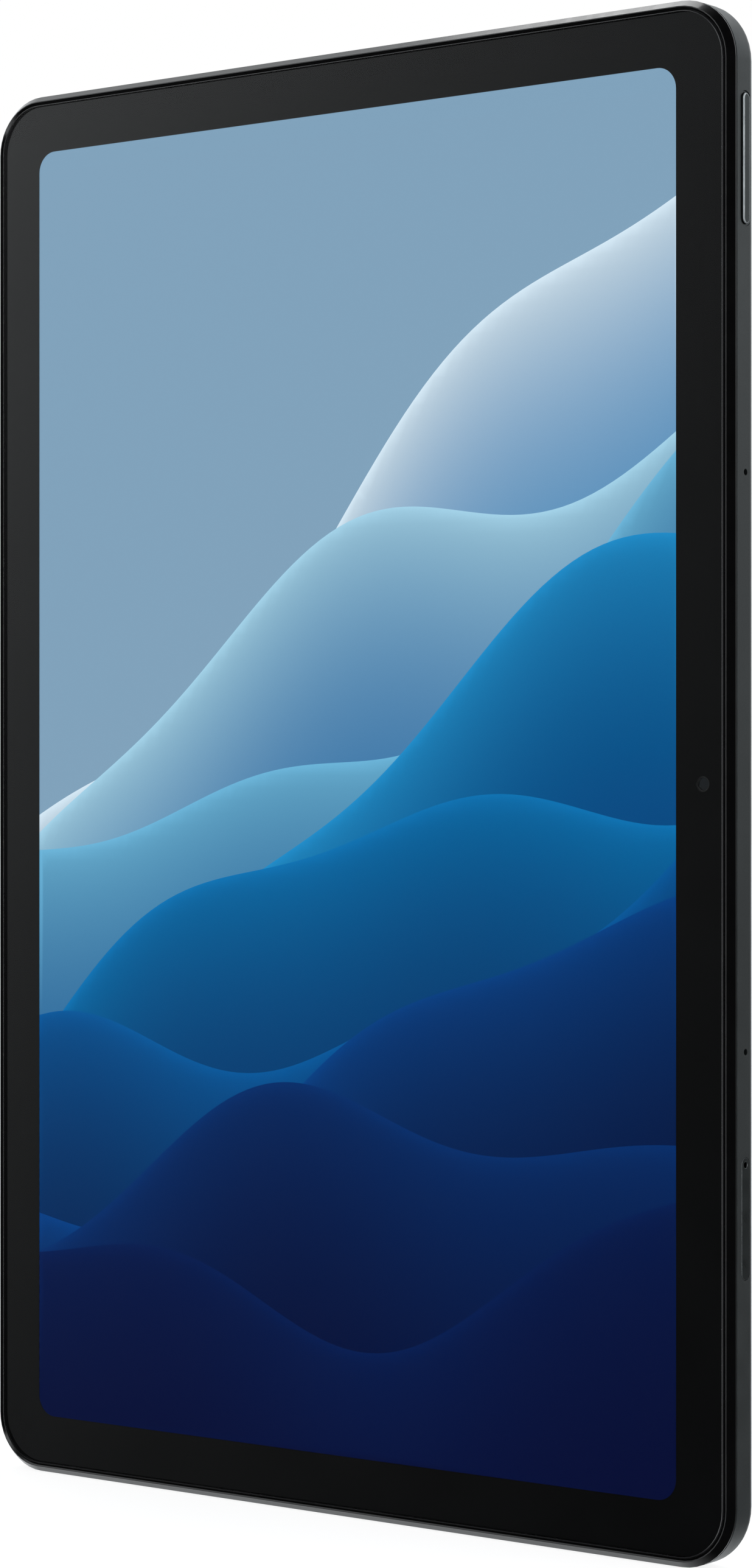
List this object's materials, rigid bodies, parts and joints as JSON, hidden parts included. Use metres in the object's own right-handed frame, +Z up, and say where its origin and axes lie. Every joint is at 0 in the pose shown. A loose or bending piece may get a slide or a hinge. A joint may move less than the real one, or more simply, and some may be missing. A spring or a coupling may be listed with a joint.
{
  "type": "tablet computer",
  "caption": "Slim tablet computer with a lit full-face screen, dark metal shell, side volume rocker, power key, card tray with ejector, USB-C port, speakers and rear camera.",
  "frame": {"origin": "centre of the body; it stands upright in portrait", "axes": "+Z up the long side, +X to the right of someone looking at the screen, +Y from the screen to the back, so the screen faces -Y"},
  "size_m": [0.1577, 0.008, 0.2483],
  "materials": {
    "anodised_shell": "fine bead-blasted anodised aluminium, dark grey",
    "antenna_plastic": "metallic dark grey paint on plastic",
    "frame_plastic": "satin black moulding",
    "cover_glass": "polished, with a rounded front edge",
    "black_print": "black ink printed behind the glass",
    "black_tape": "black foam tape",
    "clear_adhesive": "clear bonding layer",
    "display_panel": "lit display showing an abstract picture",
    "white_film": "white diffusing film",
    "clear_guide": "clear acrylic",
    "led_white": "pale yellow phosphor",
    "flex_circuit": "amber polyimide film",
    "pressed_steel": "pressed stainless sheet",
    "cast_plate": "bare die-cast plate",
    "screw_steel": "plated screws",
    "cell_foil": "dark laminated foil pouch",
    "circuit_board": "green solder mask",
    "chip_black": "moulded chip packages",
    "shield_tin": "tinned sheet",
    "standoff_brass": "turned brass",
    "port_steel": "drawn stainless shell",
    "port_plastic": "black moulding",
    "speaker_plastic": "black moulding",
    "speaker_metal": "pressed frame and diaphragm",
    "fine_mesh": "blackened woven mesh",
    "camera_black": "black module",
    "camera_ring_metal": "turned and anodised ring",
    "camera_glass": "dark polished glass",
    "lens_glass": "coated lens",
    "flash_diffuser": "frosted flash lens",
    "anodised_key": "anodised like the shell, with polished edges",
    "switch_metal": "dome switch",
    "black_rubber": "soft rubber boot",
    "grey_rubber": "soft heat pad",
    "red_rubber": "silicone seal"
  },
  "bodies": {
    "casing": {"rear_housing": "anodised_shell", "antenna_cover": "antenna_plastic", "front_frame": "frame_plastic", "cover_glass": "cover_glass", "border_print": "black_print", "glass_tape": "black_tape", "optical_adhesive": "clear_adhesive", "lcd_panel": "display_panel", "display_flex": "flex_circuit", "backlight_films": "white_film", "light_guide": "clear_guide", "led_strip": "led_white", "reflector_sheet": "white_film", "backlight_tray": "pressed_steel", "mid_plate": "cast_plate", "plate_screws": "screw_steel", "battery_cell_left": "cell_foil", "battery_cell_right": "cell_foil", "battery_board": "circuit_board", "battery_tape": "white_film", "battery_lead": "flex_circuit", "main_board": "circuit_board", "board_chips": "chip_black", "shield_cans": "shield_tin", "board_standoffs": "standoff_brass", "board_screws": "screw_steel", "sub_board": "circuit_board", "board_link_flex": "flex_circuit", "usb_c_shell": "port_steel", "usb_c_tongue": "port_plastic", "top_speaker": "speaker_plastic", "top_speaker_driver": "speaker_metal", "bottom_speaker": "speaker_plastic", "bottom_speaker_driver": "speaker_metal", "speaker_meshes": "fine_mesh", "rear_camera": "camera_black", "rear_camera_ring": "camera_ring_metal", "rear_camera_glass": "camera_glass", "flash_led": "led_white", "flash_lens": "flash_diffuser", "front_camera": "camera_black", "front_camera_lens": "lens_glass", "microphones": "shield_tin", "mic_boots": "black_rubber", "power_switch": "switch_metal", "power_bracket": "pressed_steel", "volume_switches": "switch_metal", "volume_bracket": "pressed_steel", "key_flex": "flex_circuit", "sim_reader_base": "port_plastic", "sim_reader_cover": "shield_tin", "antenna_sheets": "flex_circuit", "thermal_pads": "grey_rubber"},
    "power_key": {"power_button": "anodised_key"},
    "volume_key": {"volume_rocker": "anodised_key"},
    "card_tray": {"sim_tray": "anodised_key", "tray_seal": "red_rubber"},
    "eject_rod": {"eject_rod": "pressed_steel"},
    "eject_lever": {"eject_lever": "pressed_steel"}
  },
  "joints": [
    {"name": "power_press", "type": "slide", "parent": "casing", "child": "power_key", "axis": [0, 0, -1], "range_m": [0, 0.00035], "stiffness_N_per_m": 5000},
    {"name": "volume_rock", "type": "hinge", "parent": "casing", "child": "volume_key", "pos_m": [0.07625, 0.00045, 0.0985], "axis": [0, 1, 0], "range_deg": [-1.6, 1.6], "stiffness_Nm_per_rad": 0.55},
    {"name": "tray_slide", "type": "slide", "parent": "casing", "child": "card_tray", "axis": [1, 0, 0], "range_m": [0, 0.022]},
    {"name": "eject_rod_slide", "type": "slide", "parent": "casing", "child": "eject_rod", "axis": [-1, 0, 0], "range_m": [0, 0.002]},
    {"name": "eject_lever_turn", "type": "hinge", "parent": "casing", "child": "eject_lever", "pos_m": [0.05085, 0.00045, -0.0645], "axis": [0, -1, 0], "range_deg": [0, 26.5]}
  ],
  "couplings": [
    {"joint": "eject_rod_slide", "follows": "tray_slide", "ratio": 0.0909},
    {"joint": "eject_lever_turn", "follows": "tray_slide", "rad_per_m": 21.02}
  ]
}
